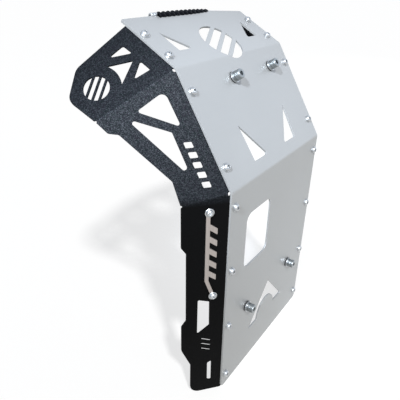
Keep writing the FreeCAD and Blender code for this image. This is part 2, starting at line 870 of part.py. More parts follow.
def ladder(name):
    """The wires of a ladder of like slots, each leaning by the rake."""
    out, reach, rake = (size(f"{name}_{part}") for part in ("out", "reach", "rake"))
    half, radius = size(f"{name}_width") / 2, size("ladder_corner_radius")
    wires = []
    for step in range(int(size(f"{name}_count"))):
        up = size(f"{name}_first_up") + size(f"{name}_pitch") * step
        wires.append(rounded_wire([
            (out - reach, up - half - rake, radius), (out + reach, up - half + rake, radius),
            (out + reach, up + half + rake, radius), (out - reach, up + half - rake, radius),
        ]))
    return wires


def side_gaps(facet):
    """The wires of a side facet's cut-outs."""
    tight, wide = "side_gap_radius", "side_gap_wide_radius"
    if facet == LOWER:
        return [gap("long_slot", crown=tight, brow=tight, heel=tight, toe=tight),
                gap("foot_slot", brow=tight, crown=tight, toe=tight, heel=tight), *ladder("tick")]
    if facet == MIDDLE:
        return [gap("high_gap", tip=wide, crown="high_gap_crown_radius", foot=wide),
                gap("low_gap", tip=wide, brow=tight, foot="low_gap_foot_radius"), *ladder("louvre")]
    return [gap("ear_high_gap", tip=tight, crown=wide, foot=tight),
            gap("ear_low_gap", crown=tight, foot=tight, tip=tight), ear_gap(), *ear_vent()]


def ear_gap():
    """The gap beside the ear's vent, its outer side an arc round that vent."""
    centre = Vector(size("ear_vent_out"), size("ear_vent_up"), 0)
    reach = size("ear_vent_radius") + size("ear_vent_land")
    apex = Vector(size("ear_gap_point_out"), size("ear_gap_point_up"), 0)
    high, low = (math.radians(size(f"ear_gap_{end}_angle")) for end in ("high", "low"))

    def rim(angle):
        return centre + Vector(math.cos(angle), math.sin(angle), 0) * reach

    sides = [Part.LineSegment(apex, rim(high)), Part.Arc(rim(high), rim((high + low) / 2), rim(low)),
             Part.LineSegment(rim(low), apex)]
    return Part.Wire([side.toShape() for side in sides])


def ear_vent():
    """The ear's small vent: a disc of openings with leaning slats left between them."""
    radius = size("ear_vent_radius")
    centre = Vector(size("ear_vent_out"), size("ear_vent_up"), 0)
    disc = Part.Face(Part.Wire(Part.makeCircle(radius, centre)))
    width, pitch = size("ear_slat_width"), size("ear_slat_pitch")
    slats = []
    for step in (-1, 0, 1):
        slat = Part.makePlane(4 * radius, width, Vector(-2 * radius, step * pitch - width / 2, 0))
        slat.rotate(ORIGIN, Z_AXIS, -size("vent_slat_lean"))
        slat.translate(centre)
        slats.append(slat)
    return [face.OuterWire for face in disc.cut(slats).Faces]


def trimmed(shape, spot, keep):
    """The shape less what lies behind a plane through the spot, on the side away from keep."""
    reach = 10 * size("plate_width")
    block = Part.makeBox(reach, reach, reach, Vector(-reach / 2, -reach / 2, -reach))
    block.Placement = Placement(spot, Rotation(Z_AXIS, keep))
    return one_solid(shape.cut(block))


def in_flange(facet, shape):
    """A shape drawn outboard and up, with Z into the sheet, set on a facet of the flange."""
    turn = Rotation(X_AXIS * -1, facet_up(facet), facet_normal(facet) * -1, "ZYX")
    placed = shape.copy()
    placed.Placement = Placement(side_frame(facet)[0], turn)
    return placed


def inner_corner(corner, one, other):
    """The inside of a sharp fold between faces with these outward directions."""
    return corner - (one + other) * (size("side_thickness") / (1 + one.dot(other)))


def drill(radius, spot, axis, seam):
    """A cylinder to cut a round hole through the sheet, its seam turned to one side."""
    reach = 4 * size("side_thickness") + size("plate_thickness")
    cylinder = Part.makeCylinder(radius, 2 * reach, Vector(0, 0, -reach))
    cylinder.Placement = Placement(spot, Rotation(seam, ORIGIN, axis, "ZXY"))
    return cylinder


def side_sheet():
    """The left side plate before its cut-outs: three folded facets bent off the flange."""
    thickness = size("side_thickness")
    leaves = []
    for facet in (LOWER, MIDDLE, UPPER):
        corner, _, _, outward = side_frame(facet)
        normal = facet_normal(facet)
        wing = in_side_facet(facet, drawn_out([rounded_wire(side_outline(facet))], 0, thickness)[0])
        strip = in_flange(facet, drawn_out([rounded_wire(flange_outline(facet))], 0, thickness)[0])
        wing = trimmed(wing, corner, outward - normal)
        strip = trimmed(strip, corner, normal - outward)
        for leaf, facing in ((wing, outward_of), (strip, facet_normal)):
            if facet != LOWER:
                leaf = trimmed(leaf, corner, facing(facet) - facing(facet - 1))
            if facet != UPPER:
                leaf = trimmed(leaf, side_frame(facet + 1)[0], facing(facet) - facing(facet + 1))
            leaves.append(leaf)
    whole = one_solid(joined(leaves))

    reliefs = []
    for facet, out in ((MIDDLE, size("side_width")), (UPPER, size("ear_fold_out"))):
        corner, along, up, outward = side_frame(facet)
        bisector = (outward + outward_of(facet - 1)).normalize()
        square = (facet_normal(facet) + facet_normal(facet - 1)).normalize()
        fold = fold_line(facet)
        end = corner + fold * (out / fold.dot(along))
        reliefs.append(drill(size("side_relief_radius"), corner, bisector + square, fold + up))
        reliefs.append(drill(size("side_notch_radius"), end, bisector, fold))
    whole = one_solid(whole.cut(reliefs))

    for facet in (MIDDLE, UPPER):
        corner, _, _, outward = side_frame(facet)
        below, normal, normal_below = outward_of(facet - 1), facet_normal(facet), facet_normal(facet - 1)
        fold = fold_line(facet)
        nest = size("plate_bend_radius") + size("flange_fold_clearance")
        whole = rounded(whole, [on_line(corner, fold)], size("side_fold_radius") + thickness)
        whole = rounded(whole, [on_line(inner_corner(corner, outward, below), fold)],
                        size("side_fold_radius"))
        whole = rounded(whole, [on_line(corner, X_AXIS)], nest)
        whole = rounded(whole, [on_line(inner_corner(corner, normal, normal_below), X_AXIS)],
                        nest - thickness)
    for facet in (LOWER, MIDDLE, UPPER):
        corner, _, up, outward = side_frame(facet)
        inside = inner_corner(corner, facet_normal(facet), outward)
        whole = rounded(whole, [on_line(corner, up)], size("side_bend_radius") + thickness)
        whole = rounded(whole, [on_line(inside, up)], size("side_bend_radius"))
    return whole


def side_cutters():
    """What is cut from both side plates: gaps, vents and edge screw holes."""
    thickness = size("side_thickness")
    cutters = []
    for facet in (LOWER, MIDDLE, UPPER):
        for drawn in drawn_out(side_gaps(facet), -thickness, 2 * thickness):
            cutters.append(in_side_facet(facet, drawn))
    radius = (size("screw_diameter") + size("screw_hole_clearance")) / 2
    for facet, across, up in edge_spots(LEFT):
        place = on_facet(facet, value(across), value(up))
        cutters.append(drill(radius, place.Base, facet_normal(facet), X_AXIS))
    return cutters


def badge_spots():
    """The places of the bar's two screws on the lower side facet, foot first."""
    return [(size("badge_foot_out"), size("badge_foot_up")), (size("badge_top_out"), size("badge_top_up"))]


def side_plates():
    """The two black side plates, like each other but for the bar's screw holes."""
    plain = side_sheet().cut(side_cutters())
    radius = (size("pin_diameter") + size("pin_hole_clearance")) / 2
    outward = outward_of(LOWER)
    holes = [drill(radius, on_side(LOWER, *spot).Base, outward, X_AXIS) for spot in badge_spots()]
    left = one_solid(plain.cut(holes))
    right = one_solid(plain.mirror(ORIGIN, X_AXIS))
    return [new_shape("side_plate_left", left), new_shape("side_plate_right", right)]


def new_shape(name, shape, placement=None):
    """A sub-part with a shape of its own."""
    feature = doc.addObject("Part::Feature", name)
    feature.Label = name
    feature.Shape = shape
    if placement is not None:
        feature.Placement = placement
    return feature


# Fasteners, each modelled upright on its own seat: Z runs out of the face that it clamps

# The dome of a button head: where its side gives way to the shoulder, and the flat on top,
# as shares of the head's width and height
SHOULDER_WIDTH = 0.86
SHOULDER_HEIGHT = 0.72
CROWN_WIDTH = 0.55


def hexagon(sketch, flats):
    """A hexagon about the sketch's origin, told by its width across flats."""
    points = []
    for step in range(6):
        angle = 30 + 60 * step
        points.append((f"{flats} / sqrt(3) * cos({angle})", f"{flats} / sqrt(3) * sin({angle})"))
    add_outline(sketch, points)


def turned(name, profile, seams=False):
    """A round piece from its half section: (radius, height) corners as formulas.

    With seams, a corner in the middle of a straight run still parts two faces.
    """
    body = new_body(name)
    sketch = new_sketch(body, f"{name}_section", "XZ_Plane")
    add_outline(sketch, profile)
    feature = revolve(body, f"{name}_turning", sketch)
    feature.Refine = not seams
    doc.recompute()
    return body


def socket(body, name, height, flats, depth):
    """A hexagon socket sunk from a height into the piece."""
    seams = body.Tip.Refine
    sketch = new_sketch(body, f"{name}_socket_outline", "XY_Plane")
    bind(sketch, "AttachmentOffset.Base.z", height)
    hexagon(sketch, flats)
    feature = pocket(body, f"{name}_socket", sketch, depth)
    feature.Refine = seams
    doc.recompute()


def cap_bolt(name):
    """The mounting bolt: its head on the washers, its shank below, the free end a face of its own."""
    half, head, chamfer = "<bolt_diameter> / 2", "<bolt_head_diameter> / 2", "<bolt_chamfer>"
    top = f"{BOLT_SEAT} + <bolt_head_height>"
    end = f"{BOLT_SEAT} - <bolt_length>"
    body = turned(name, [
        ("0", end), (f"{half} - {chamfer}", end), (half, f"{end} + {chamfer}"), (half, NUT_END),
        (half, BOLT_SEAT), (head, BOLT_SEAT), (head, f"{top} - {chamfer}"), (f"{head} - {chamfer}", top),
        ("0", top),
    ], seams=True)
    socket(body, name, top, "<bolt_socket_flats>", "<bolt_socket_depth>")
    return body


def flanged_screw(name, prefix, seat):
    """A button screw with a flange under its dome, standing on the seat height."""
    half, flange, head = (f"<{prefix}{part}_diameter> / 2" for part in ("", "_flange", "_head"))
    rim, rise = f"{seat} + <{prefix}_flange_thickness>", f"<{prefix}_head_height>"
    end, top = f"{seat} - <{prefix}_length>", f"{seat} + {rise}"
    body = turned(name, [
        ("0", end), (half, end), (half, seat), (flange, seat), (flange, rim), (head, rim),
        (f"{head} * {SHOULDER_WIDTH}", f"{seat} + {rise} * {SHOULDER_HEIGHT}"),
        (f"{head} * {CROWN_WIDTH}", top), ("0", top),
    ])
    socket(body, name, top, f"<{prefix}_socket_flats>", f"<{prefix}_socket_depth>")
    return body


def ring(name, inner, outer, foot, thickness):
    """A flat ring about Z, standing on a height."""
    top = f"{foot} + {thickness}"
    return turned(name, [(inner, foot), (outer, foot), (outer, top), (inner, top)])


def nut(name, prefix, top):
    """A hexagon nut hanging below a height, bored to its shank."""
    body = new_body(name)
    sketch = new_sketch(body, f"{name}_outline", "XY_Plane")
    bind(sketch, "AttachmentOffset.Base.z", top)
    hexagon(sketch, f"<{prefix}_nut_flats>")
    add_circle(sketch, "0", "0", f"<{prefix}_diameter> + <bore_play>")
    pad(body, f"{name}_prism", sketch, f"<{prefix}_nut_height>", backwards=True)
    return body


def spring_ring():
    """A split spring washer: a flat ring with a slanted gap."""
    body = ring("spring_washer", "<bolt_diameter> / 2 + <bore_play>", "<bolt_spring_diameter> / 2",
                SPRING_FOOT, "<bolt_spring_thickness>")
    gap = new_sketch(body, "spring_gap_outline", "XZ_Plane")
    top = f"{SPRING_FOOT} + <bolt_spring_thickness>"
    add_outline(gap, [
        ("-<bolt_spring_gap>", f"{SPRING_FOOT} - <bolt_spring_gap>"),
        ("0", f"{SPRING_FOOT} - <bolt_spring_gap>"),
        ("<bolt_spring_gap> * 2", f"{top} + <bolt_spring_gap>"),
        ("<bolt_spring_gap>", f"{top} + <bolt_spring_gap>"),
    ])
    pocket(body, "spring_gap", gap, "<bolt_spring_diameter>")
    return body


def spread(name, master, places):
    """Copies of a fastener at the places that it is used, as one sub-part."""
    copies = []
    for place in places:
        copy = master.Shape.copy()
        copy.Placement = place.multiply(master.Shape.Placement)
        copies.append(copy)
    return new_shape(name, Part.makeCompound(copies))


def facet_places(spots):
    """Places on the front plate's facets from spots given as formulas."""
    return [on_facet(facet, value(across), value(up)) for facet, across, up in spots]


# What is stacked under a bolt head, up from the front plate's face
RUBBER_FOOT = "0"
WASHER_FOOT = "<bolt_rubber_thickness>"
SPRING_FOOT = f"{WASHER_FOOT} + <bolt_washer_thickness>"
BOLT_SEAT = f"{SPRING_FOOT} + <bolt_spring_thickness>"
NUT_END = "-(<plate_thickness> + <bolt_nut_height>)"


def bolt_stacks():
    """The four mounting bolts with their washers and thin nuts."""
    play = "<bolt_diameter> / 2 + <bore_play>"
    masters = {
        "bolts": cap_bolt("cap_bolt"),
        "spring_washers": spring_ring(),
        "flat_washers": ring("flat_washer", play, "<bolt_washer_diameter> / 2", WASHER_FOOT,
                             "<bolt_washer_thickness>"),
        "rubber_washers": ring("rubber_washer", play, "<bolt_rubber_diameter> / 2", RUBBER_FOOT,
                               "<bolt_rubber_thickness>"),
        "nuts": nut("bolt_nut", "bolt", "-<plate_thickness>"),
    }
    pieces = []
    for side, spots in (("lower", lower_bolt_spots()), ("upper", upper_bolt_spots())):
        for name, master in masters.items():
            pieces.append(spread(f"{side}_{name}", master, facet_places(spots)))
    return pieces


def edge_stacks():
    """The screws that hold the side plates, and their nuts."""
    behind = "-(<plate_thickness> + <side_thickness>)"
    masters = {
        "screws": flanged_screw("edge_screw", "screw", "0"),
        "nuts": nut("edge_nut", "screw", behind),
    }
    pieces = []
    for side, word in ((LEFT, "left"), (RIGHT, "right")):
        for name, master in masters.items():
            pieces.append(spread(f"edge_{name}_{word}", master, facet_places(edge_spots(side))))
    return pieces


def badge():
    """The bright bar on the left side plate, with slanted blades, and its fixings."""
    (foot_out, foot_up), (top_out, top_up) = badge_spots()
    half, thickness = size("badge_spine_width") / 2, size("badge_thickness")
    spine, bend = size("badge_spine_out"), size("badge_spine_foot")
    shoulder = top_up - size("badge_eye_diameter") / 2
    wires = [rounded_wire([
        (foot_out - half, foot_up, 0), (foot_out + half, foot_up, 0), (spine + half, bend, 0),
        (spine + half, shoulder, 0), (top_out + half, top_up, 0), (top_out - half, top_up, 0),
        (spine - half, shoulder, 0), (spine - half, bend, 0),
    ])]
    wires += [Part.Wire(Part.makeCircle(size("badge_eye_diameter") / 2, Vector(out, up, 0)))
              for out, up in badge_spots()]
    width, reach, rake, soft = (size(f"badge_blade_{name}")
                                for name in ("width", "reach", "rake", "radius"))
    for step in range(int(size("badge_blade_count"))):
        foot = size("badge_blade_foot") + size("badge_blade_pitch") * step
        tip = spine - half - reach
        wires.append(rounded_wire([(spine, foot, 0), (spine, foot + width, 0),
                                   (tip, foot + width - rake, soft), (tip, foot - rake, soft)]))
    radius = (size("pin_diameter") + size("pin_hole_clearance")) / 2
    holes = [Part.makeCylinder(radius, 4 * thickness, Vector(out, up, -2 * thickness))
             for out, up in badge_spots()]
    plate = one_solid(joined(drawn_out(wires, -thickness, 0)).cut(holes))
    pieces = [new_shape("badge_plate", in_side_facet(LOWER, plate))]

    masters = {
        "screws": flanged_screw("badge_screw", "pin", "<badge_thickness>"),
        "nuts": nut("badge_nut", "pin", "-<side_thickness>"),
    }
    places = [on_side(LOWER, *spot) for spot in badge_spots()]
    for name, master in masters.items():
        pieces.append(spread(f"badge_{name}", master, places))
    return pieces


def twisted_bar(length):
    """A three-strand bar along Z, its strands lying round it as in a rope."""
    radius, valley = size("guard_radius"), size("guard_core_radius")
    tip, share = size("guard_tip_length"), size("guard_tip_share")
    turns = length / size("guard_twist_pitch")
    steps = max(2, round(turns * GUARD_STEPS_PER_TURN))

    def section(step):
        height = length * step / steps
        slimness = 1 - (1 - share) * max(0, 1 - (length - height) / tip)
        spots = []
        for corner in range(2 * GUARD_STRANDS):
            angle = math.tau * (corner / (2 * GUARD_STRANDS) + turns * step / steps)
            reach = slimness * (valley if corner % 2 else radius)
            spots.append(Vector(math.cos(angle) * reach, math.sin(angle) * reach, height))
        return spots

    sections = [section(step) for step in range(steps + 1)]
    faces = [Part.Face(Part.makePolygon(ends + ends[:1])) for ends in (sections[0], sections[-1])]
    for low, high in zip(sections, sections[1:]):
        for here in range(len(low)):
            following = (here + 1) % len(low)
            for corners in ((low[here], low[following], high[following]),
                            (low[here], high[following], high[here])):
                faces.append(Part.Face(Part.makePolygon([*corners, corners[0]])))
    return Part.Solid(Part.Shell(faces))


def guard_screw():
    """The screw of the guard's left end: a long grooved head above a thin shank, along Z."""
    half, head, rise = (f"<guard_screw_{part}>" for part in ("diameter", "head_diameter", "head_height"))
    half, head = f"{half} / 2", f"{head} / 2"
    waist = f"{head} - <guard_screw_groove_depth>"
    low, high = (f"({rise} {sign} <guard_screw_groove_width>) / 2" for sign in ("-", "+"))
    chamfer, recess = "<guard_screw_chamfer>", "<guard_screw_recess_diameter> / 2"
    floor = f"{rise} - <guard_screw_recess_depth>"
    return turned("guard_screw", [
        ("0", "-<guard_screw_length>"), (half, "-<guard_screw_length>"), (half, "0"), (head, "0"),
        (head, low), (waist, low), (waist, high), (head, high), (head, f"{rise} - {chamfer}"),
        (f"{head} - {chamfer}", rise), (recess, rise), (recess, floor), ("0", floor),
    ])


def edge_guard():
    """The black twisted guard that grips the top edge, and the screw in its left end."""
    length, radius, lift = size("guard_length"), size("guard_radius"), size("guard_lift")
    slit = size("plate_thickness") + size("guard_slit_play")
    reach = 2 * radius + size("guard_screw_head_diameter")
    groove = Part.makeBox(reach, slit, 3 * length, Vector(-reach - lift, -slit / 2, -length))
    bore_radius = size("guard_screw_diameter") / 2 + size("guard_screw_play")
    bore = Part.makeCylinder(bore_radius, size("guard_screw_length") + size("guard_screw_play"))

    normal, up = facet_normal(UPPER), facet_up(UPPER)
    rim = facet_top(UPPER) - normal * (size("plate_thickness") / 2)
    start = rim + up * lift + X_AXIS * (size("guard_shift") - length / 2)
    turn = Rotation(up, normal, X_AXIS, "ZXY")
    screw = guard_screw().Shape.copy()
    screw.rotate(ORIGIN, X_AXIS, 180)
    bar = twisted_bar(length).cut([groove, bore])
    pieces = []
    for name, shape in (("edge_guard", bar), ("edge_guard_screw", screw.cut(groove))):
        pieces.append(new_shape(name, one_solid(shape), Placement(start, turn)))
    return pieces


# Build, test and write

plate = front_plate()
pieces = [plate] + side_plates() + bolt_stacks() + edge_stacks() + badge() + edge_guard()
doc.recompute()
for thing in doc.Objects:
    if {"Invalid", "Error"} & set(thing.State):
        raise ValueError(f"{thing.Label} did not build")
behind = size("plate_thickness") + size("bolt_nut_height")
to_origin = Placement(Vector(0, -behind, -size("lower_bolt_height")), Rotation())
for piece in pieces:
    piece.Placement = to_origin.multiply(piece.Placement)
    if piece.Shape.isNull() or not piece.Shape.isValid():
        raise ValueError(f"{piece.Label} has no sound shape")
os.makedirs("parts", exist_ok=True)
for piece in pieces:
    piece.Shape.exportStep(f"parts/{piece.Label}.step")
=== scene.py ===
# Looks of the skid plate: sheets with broken edges, detailed fasteners, the plaited edge guard,
# the finish of every piece, a pale floor, the lamps and the camera.
import math

import bmesh
import bpy
from mathutils import Matrix, Vector

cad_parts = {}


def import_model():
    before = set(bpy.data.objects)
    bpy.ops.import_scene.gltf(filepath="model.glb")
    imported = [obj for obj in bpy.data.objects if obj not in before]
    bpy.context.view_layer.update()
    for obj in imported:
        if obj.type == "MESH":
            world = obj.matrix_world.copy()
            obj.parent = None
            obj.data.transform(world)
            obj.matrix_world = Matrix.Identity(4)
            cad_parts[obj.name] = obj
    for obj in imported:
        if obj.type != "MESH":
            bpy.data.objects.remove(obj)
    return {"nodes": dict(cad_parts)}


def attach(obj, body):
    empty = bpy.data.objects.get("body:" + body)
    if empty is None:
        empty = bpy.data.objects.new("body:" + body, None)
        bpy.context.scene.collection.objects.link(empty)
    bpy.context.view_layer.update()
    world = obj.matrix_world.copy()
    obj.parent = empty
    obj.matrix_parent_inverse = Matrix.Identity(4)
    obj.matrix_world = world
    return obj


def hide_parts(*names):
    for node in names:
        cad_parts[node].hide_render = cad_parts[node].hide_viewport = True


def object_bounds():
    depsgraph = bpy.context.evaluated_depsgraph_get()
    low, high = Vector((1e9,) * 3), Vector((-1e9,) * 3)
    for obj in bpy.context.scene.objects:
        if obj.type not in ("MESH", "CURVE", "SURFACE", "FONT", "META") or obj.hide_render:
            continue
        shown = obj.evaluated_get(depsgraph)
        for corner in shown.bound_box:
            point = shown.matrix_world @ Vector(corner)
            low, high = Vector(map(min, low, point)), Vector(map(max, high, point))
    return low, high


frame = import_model()
cad_low, cad_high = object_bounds()
NODES = frame["nodes"]

MM = 0.001

# Facets of the front plate: the height that each reaches and how many degrees it leans back
TOP_LEAN = 61
FACETS = ((210 * MM, 0), (341 * MM, 31.5), (math.inf, TOP_LEAN))

# Side plates: the degrees that they flare out, and the height of their lower fold
SIDE_FLARE = 40
# Below the lower fold the coat's colour is painted shade
SIDE_FOLD_HEIGHT = 0.203

# Sheets: the width of a broken edge, the degrees from which an edge counts as sharp and up to
# which faces count as one flat face, and how near corners are when they count as one
SHEET_EDGE = 0.35 * MM
SHARP_ANGLE = 35
FLAT_ANGLE = 0.5
WELD_DISTANCE = 0.001 * MM

# Smooth shading: how much the large flat faces lead at their corners, from 1 to 100
LARGE_FACE_WEIGHT = 100

# Places of the same fastener are sorted by their metres, rounded to this many digits
PLACE_DIGITS = 5

# Fasteners in millimetres: heights are measured from the seat of the head
BOLT = {"radius": 4, "root": 3.35, "pitch": 1.25, "head": 6.5, "height": 8, "length": 30,
        "flats": 6, "depth": 4.5}
EDGE_SCREW = {"radius": 3, "root": 2.5, "pitch": 1.0, "flange": 6, "flange_height": 1,
              "head": 5, "height": 4.3, "length": 11.5, "flats": 4, "depth": 2.2}
BAR_SCREW = {"radius": 2.5, "root": 2.05, "pitch": 0.8, "flange": 5.75, "flange_height": 1,
             "head": 4.4, "height": 3.8, "length": 10, "flats": 3, "depth": 1.8}
BOLT_NUT = {"flats": 13, "height": 4, "bore": 4.1}
EDGE_NUT = {"flats": 10, "height": 5, "bore": 3.1}
BAR_NUT = {"flats": 8, "height": 4, "bore": 2.6}

# Thread: a steep wave cut flat at its crests and roots, which rises slowly from a blunt tip
THREAD_STEEPNESS = 2.2
THREAD_CUT = 0.6
THREAD_TIP_STEP = 0.4
THREAD_TIP_RISE = 0.05
THREAD_RUN_OUT = 0.4
LEAD_LENGTH = 1
LEAD_DEPTH = 0.9
LEAD_SLOPE = 1.2
BOLT_THREAD_LENGTH = 16
BOLT_THREAD_STEPS = 8
SCREW_THREAD_END = -4.2
SCREW_SHANK_END = -3.9
SCREW_THREAD_STEPS = 6

# Hexagon socket: its chamfer and the drilled cone at its foot
SOCKET_CHAMFER = 0.3
SOCKET_CONE_DEPTH = 0.6
SOCKET_CONE_SHARE = 0.2

# Cap bolt's head: height above the seat or depth under the top, and the step in from its radius
BOLT_FOOT = ((0, 0.5), (0.35, 0), (0.8, 0))
BOLT_CROWN = ((1.2, 0), (0.85, 0.02), (0.3, 0.45), (0, 0.9))
BOLT_SEGMENTS = 96
KNURL_DEPTH = 0.08
KNURL_FOOT = 0.9
KNURL_TOP_GAP = 1.3

# Button screw: the flange's broken edges, then the dome as shares of its rise and its radius
FLANGE_FOOT_STEP = 0.25
FLANGE_FOOT_RISE = 0.2
FLANGE_TOP_STEP = 0.3
FLANGE_TOP_DROP = 0.25
DOME = ((0.2, 0.995), (0.4, 0.97), (0.58, 0.92), (0.74, 0.85), (0.88, 0.75), (0.97, 0.65),
        (1, 0.58))
SCREW_SEGMENTS = 48

# Nut: the corner chamfer as shares of its height and its corners, and the broken edges
NUT_CHAMFER_SHARE = 0.12
NUT_CORNER_SHARE = 0.985
NUT_CHAMFER_STEP = 0.2
NUT_FACE_STEP = 0.1
BORE_CHAMFER = 0.35
NUT_SEGMENTS = 72

# Edge guard: a plait of strands along X that thins toward its right end
GUARD_START = Vector((-63.5, 156.4, 386.0)) * MM
GUARD_LENGTH = 111.5 * MM
GUARD_TURNS = 3.9
GUARD_STRANDS = 3
GUARD_STRAND_RADIUS = 3.9 * MM
GUARD_SWING = 1.6 * MM
GUARD_LIFT = 1.0 * MM
GUARD_TIP_SHARE = 0.62
GUARD_TAPER_POWER = 4
GUARD_STEPS = 120
STRAND_SEGMENTS = 20

# Lamps: each way points from the object to the light
KEY_WAY = (-0.793, -0.159, 0.588)
KEY_AIM = (0, 0.03, 0.25)
KEY_DISTANCE = 3
KEY_CONE = 10.5
KEY_EDGE_SOFTNESS = 1
KEY_RADIUS = 0.1
KEY_POWER = 610
KEY_COLOUR = (0.89, 0.985, 1.12)
SOFT_WAY = (-0.412, -0.527, 0.743)
SOFT_ANGLE = 5
SOFT_STRENGTH = 2.6
WIDE_PLACE = (2.1, -0.5, 1.25)
WIDE_AIM = (0, 0.06, 0.15)
WIDE_WIDTH = 2.6
WIDE_POWER = 5
WIDE_COLOUR = (0.9, 0.965, 1.03)

# Floor and sky: what they give as light, and how they look to the camera and in reflections
FLOOR_HEIGHT = cad_low.z
FLOOR_REACH = 12
FLOOR_COLOUR = (0.66, 0.66, 0.65)
FLOOR_SEEN_COLOUR = (0.36, 0.3585, 0.354)
FLOOR_GLOW = 0.718
SKY_STRENGTH = 0.15
SKY_SEEN_STRENGTH = 1.0
SKY_COLOUR = (0.915, 0.985, 1.11)

# Camera of the photograph's view
CAMERA_PLACE = (-0.521607, -0.231701, 0.437095)
CAMERA_RIGHT = Vector((0.57533045, -0.81773586, 0.01740523))
CAMERA_DOWN = Vector((-0.37059662, -0.27959096, -0.88571273))
CAMERA_FORWARD = Vector((0.72914541, 0.50312718, -0.46390733))
CAMERA_LENS = 39.248
CAMERA_SENSOR = 36
CAMERA_NEAREST = 0.01


# Shader sockets with arithmetic, and materials made of them

class Value:
    """A node's output that adds a Math node for each operator used on it."""

    def __init__(self, nodes, output):
        self.nodes = nodes
        self.output = output

    def math(self, operation, one, other):
        return self.nodes.node("ShaderNodeMath", {"operation": operation}, {0: one, 1: other})

    def __add__(self, other):
        return self.math("ADD", self, other)

    def __radd__(self, other):
        return self.math("ADD", other, self)

    def __sub__(self, other):
        return self.math("SUBTRACT", self, other)

    def __rsub__(self, other):
        return self.math("SUBTRACT", other, self)

    def __mul__(self, other):
        return self.math("MULTIPLY", self, other)

    def __rmul__(self, other):
        return self.math("MULTIPLY", other, self)


def colour(given):
    """A colour socket's value from three numbers, or a link as it is."""
    return given if isinstance(given, Value) else (*given, 1)


class Nodes:
    """A node tree whose nodes all come from one method."""

    def __init__(self, tree):
        self.tree = tree

    def node(self, kind, settings=None, values=None, output=0):
        """A node of a type: its settings first, then the values or links of its sockets."""
        made = self.tree.nodes.new(kind)
        for name, setting in (settings or {}).items():
            setattr(made, name, setting)
        for name, given in (values or {}).items():
            self.feed(made.inputs[name], given)
        return Value(self, made.outputs[output]) if made.outputs else None

    def feed(self, target, given):
        if isinstance(given, Value):
            self.tree.links.new(given.output, target)
        else:
            target.default_value = given

    def place(self):
        return self.node("ShaderNodeTexCoord", output="Object")

    def along(self, stretch):
        """Object coordinates, stretched."""
        return self.node("ShaderNodeMapping", None, {"Vector": self.place(), "Scale": stretch})

    def height(self):
        return self.node("ShaderNodeSeparateXYZ", None, {"Vector": self.place()}, "Z")

    def noise(self, where, scale, detail, roughness=0.5):
        values = {"Vector": where, "Scale": scale, "Detail": detail, "Roughness": roughness}
        return self.node("ShaderNodeTexNoise", None, values, "Fac")

    def cells(self, where, scale):
        """A random number for each cell of a fine irregular pattern."""
        values = {"Vector": where, "Scale": scale}
        tint = self.node("ShaderNodeTexVoronoi", None, values, "Color")
        return self.node("ShaderNodeSeparateColor", None, {"Color": tint}, "Red")

    def range(self, given, low, high, to_low=0, to_high=1):
        """A value carried from one range to another and held inside it."""
        values = {0: given, 1: low, 2: high, 3: to_low, 4: to_high}
        return self.node("ShaderNodeMapRange", {"clamp": True}, values)

    def blend(self, share, one, other):
        """One colour where the share is 0 and the other where it is 1."""
        values = {0: share, 6: colour(one), 7: colour(other)}
        return self.node("ShaderNodeMix", {"data_type": "RGBA"}, values, 2)

    def seen(self):
        """1 for the rays that show a surface, and 0 for those that only carry its light."""
        rays = [self.node("ShaderNodeLightPath", output=f"Is {kind} Ray")
                for kind in ("Camera", "Glossy", "Transmission")]
        return self.range(rays[0] + rays[1] + rays[2], 0, 1)


def fresh_material(name):
    """A material and its empty node tree."""
    material = bpy.data.materials.new(name)
    material.use_nodes = True
    material.node_tree.nodes.clear()
    return material, material.node_tree


class Finish(Nodes):
    """A material round one Principled shader."""

    def __init__(self, name, **constants):
        self.material, tree = fresh_material(name)
        super().__init__(tree)
        surface = self.node("ShaderNodeBsdfPrincipled")
        self.node("ShaderNodeOutputMaterial", None, {"Surface": surface})
        self.shader = surface.output.node
        for socket, given in constants.items():
            self.set(socket.replace("_", " "), given)

    def set(self, name, given):
        self.feed(self.shader.inputs[name], given)

    def bump(self, height, strength, distance):
        values = {"Height": height, "Strength": strength, "Distance": distance}
        self.set("Normal", self.node("ShaderNodeBump", None, values))


# Finishes

def rolled_aluminium():
    """Satin sheet with a fine grain along X and slow changes in tone."""
    finish = Finish("rolled_aluminium", Metallic=0.5)
    grain = finish.noise(finish.along((6, 1500, 1500)), scale=1, detail=3)
    cloud = finish.noise(finish.place(), scale=9, detail=3)
    speck = finish.noise(finish.place(), scale=700, detail=2)
    tone = finish.range(0.6 * cloud + 0.25 * grain + 0.15 * speck, 0.3, 0.7)
    finish.set("Base Color", finish.blend(tone, (0.392, 0.398, 0.394), (0.421, 0.427, 0.423)))
    finish.set("Roughness", 0.38 + 0.1 * cloud + 0.06 * grain)
    finish.bump(grain + 0.5 * speck, strength=0.08, distance=0.0002)
    return finish.material


def powder_coat():
    """Black textured powder coat with pale flecks; below the lower fold its colour is painted
    shade.
    """
    finish = Finish("black_powder_coat", Specular_IOR_Level=0.05,
                    Specular_Tint=(0.15, 0.15, 0.16, 1))
    pebble = finish.noise(finish.place(), scale=1300, detail=3, roughness=0.6)
    fleck = finish.cells(finish.place(), scale=1250)
    tint = finish.noise(finish.place(), scale=420, detail=1)
    cloud = finish.noise(finish.place(), scale=14, detail=3)
    ground = finish.blend(finish.range(tint, 0.35, 0.65),
                          (0.0086, 0.0113, 0.0124), (0.0112, 0.0112, 0.0144))
    flaked = finish.blend(finish.range(fleck, 0.5, 1.0), ground, (0.035, 0.039, 0.044))
    # Painted shade: below the lower fold the coat is plain near-black and not metallic, so it
    # renders darker
    above_painted_shade = finish.range(finish.height(), SIDE_FOLD_HEIGHT - 6 * MM, SIDE_FOLD_HEIGHT + 4 * MM)
    finish.set("Base Color", finish.blend(above_painted_shade, (0.0042, 0.0042, 0.0043), flaked))
    finish.set("Metallic", above_painted_shade * 0.92)
    finish.set("Roughness", 0.46 + 0.1 * cloud - 0.08 * fleck)
    finish.bump(pebble + 0.7 * fleck, strength=0.3, distance=0.0003)
    return finish.material


